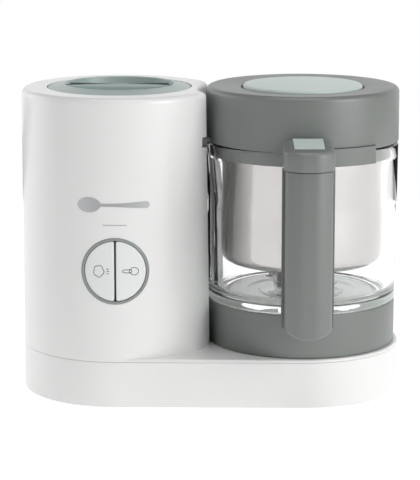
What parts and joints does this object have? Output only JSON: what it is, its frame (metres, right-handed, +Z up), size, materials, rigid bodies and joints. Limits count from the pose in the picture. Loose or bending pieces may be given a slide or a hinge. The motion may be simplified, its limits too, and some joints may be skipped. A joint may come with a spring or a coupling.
{
  "type": "baby food maker",
  "caption": "Steam-and-blend baby food maker: a column with water tank and round control beside a glass jug with a steel basket, on one oval base.",
  "frame": {"origin": "centre of the base's oval footprint, on the table under the rubber feet", "axes": "+Z up, +X along the base from the column towards the jug, -Y towards the user"},
  "size_m": [0.3151, 0.2119, 0.2572],
  "materials": {
    "white": "gloss white moulding",
    "white_satin": "satin white moulding",
    "bezel": "pale grey gloss",
    "button": "pale grey-white gloss",
    "grey": "fine satin grey",
    "grey_dark": "fine satin darker grey",
    "cap_grey": "fine satin grey-green",
    "mint": "soft light mint",
    "glass": "clear, polished",
    "steel": "brushed round the axis",
    "steel_bright": "bright",
    "steel_shaft": "ground",
    "zinc": "zinc plated",
    "rubber": "matt black",
    "silicone": "translucent white",
    "silicone_grey": "soft grey",
    "nylon": "matt black",
    "acetal": "natural",
    "aluminium": "cast",
    "bronze": "sintered",
    "board": "green laminate",
    "black": "black moulding"
  },
  "bodies": {
    "base": {"base_shell": "white", "bottom_plate": "white_satin", "rubber_feet": "rubber", "base_screws": "zinc", "upper_housing": "white", "interlock_switch": "black", "button_bezel": "bezel", "control_board": "board", "tact_switches": "black", "boiler_tank": "steel", "tank_gasket": "silicone", "tank_collar": "cap_grey", "heater_plate": "aluminium", "heating_element": "steel", "thermostat": "black", "thermal_fuse": "zinc", "steam_duct": "silicone", "steam_port": "silicone_grey", "motor_can": "zinc", "motor_bracket": "zinc", "drive_belt": "rubber", "drive_housing": "white_satin", "drive_bearings": "steel_shaft", "cord_grommet": "rubber"},
    "steam_button": {"steam_button": "button"},
    "blend_button": {"blend_button": "button"},
    "feeler": {"interlock_feeler": "grey_dark"},
    "drive": {"drive_shaft": "steel_shaft", "driven_pulley": "acetal", "drive_clutch": "nylon"},
    "motor": {"motor_shaft": "steel_shaft", "motor_pulley": "acetal"},
    "cap_seal": {"cap_seal": "silicone"},
    "cap": {"tank_cap": "cap_grey", "cap_plug": "cap_grey"},
    "jug_core": {"blade_nut": "nylon", "blade_bush": "bronze", "blade_gasket": "silicone"},
    "jug": {"jug_glass": "glass", "jug_collar": "grey", "handle_grip": "grey", "handle_liner": "grey_dark", "handle_screws": "zinc", "handle_cap": "grey", "release_spring": "steel_shaft", "rim_clamp": "grey_dark"},
    "release": {"release_button": "mint"},
    "blade": {"blade_shaft": "steel_shaft", "blade_clutch": "nylon", "blade_hub": "nylon", "blades": "steel_bright"},
    "basket": {"basket": "steel", "basket_rim": "grey"},
    "lid": {"lid_shell": "grey", "lid_liner": "grey_dark", "lid_seal": "silicone"},
    "feed_cap": {"feed_cap": "mint"}
  },
  "joints": [
    {"name": "steam_press", "type": "slide", "parent": "base", "child": "steam_button", "axis": [0, 1, 0], "range_m": [0, 0.0015], "stiffness_N_per_m": 900},
    {"name": "blend_press", "type": "slide", "parent": "base", "child": "blend_button", "axis": [0, 1, 0], "range_m": [0, 0.0015], "stiffness_N_per_m": 900},
    {"name": "feeler_press", "type": "slide", "parent": "base", "child": "feeler", "axis": [-1, 0, 0], "range_m": [0, 0.002], "stiffness_N_per_m": 600},
    {"name": "drive_spin", "type": "hinge", "parent": "base", "child": "drive", "pos_m": [0.076, 0, 0.02], "axis": [0, 0, 1], "continuous": true},
    {"name": "motor_spin", "type": "hinge", "parent": "base", "child": "motor", "pos_m": [-0.084, 0.012, 0.05], "axis": [0, 0, 1], "continuous": true},
    {"name": "cap_lift", "type": "slide", "parent": "base", "child": "cap_seal", "axis": [0, 0, 1], "range_m": [0, 0.06]},
    {"name": "cap_twist", "type": "hinge", "parent": "cap_seal", "child": "cap", "pos_m": [-0.076, 0, 0.25], "axis": [0, 0, 1], "range_deg": [0, 90]},
    {"name": "jug_lift", "type": "slide", "parent": "base", "child": "jug_core", "axis": [0, 0, 1], "range_m": [0, 0.24]},
    {"name": "jug_twist", "type": "hinge", "parent": "jug_core", "child": "jug", "pos_m": [0.076, 0, 0.06], "axis": [0, 0, 1], "range_deg": [0, 30]},
    {"name": "blade_spin", "type": "hinge", "parent": "jug_core", "child": "blade", "pos_m": [0.076, 0, 0.07], "axis": [0, 0, 1], "continuous": true},
    {"name": "release_press", "type": "slide", "parent": "jug", "child": "release", "axis": [0, 0, -1], "range_m": [0, 0.0025], "stiffness_N_per_m": 700, "deforming": ["release_spring"]},
    {"name": "basket_lift", "type": "slide", "parent": "jug", "child": "basket", "axis": [0, 0, 1], "range_m": [0, 0.15]},
    {"name": "lid_lift", "type": "slide", "parent": "basket", "child": "lid", "axis": [0, 0, 1], "range_m": [0, 0.08]},
    {"name": "feed_cap_lift", "type": "slide", "parent": "lid", "child": "feed_cap", "axis": [0, 0, 1], "range_m": [0, 0.05]}
  ],
  "couplings": [
    {"joint": "drive_spin", "follows": "motor_spin", "ratio": 0.33333},
    {"joint": "blade_spin", "follows": "motor_spin", "ratio": 0.33333}
  ]
}
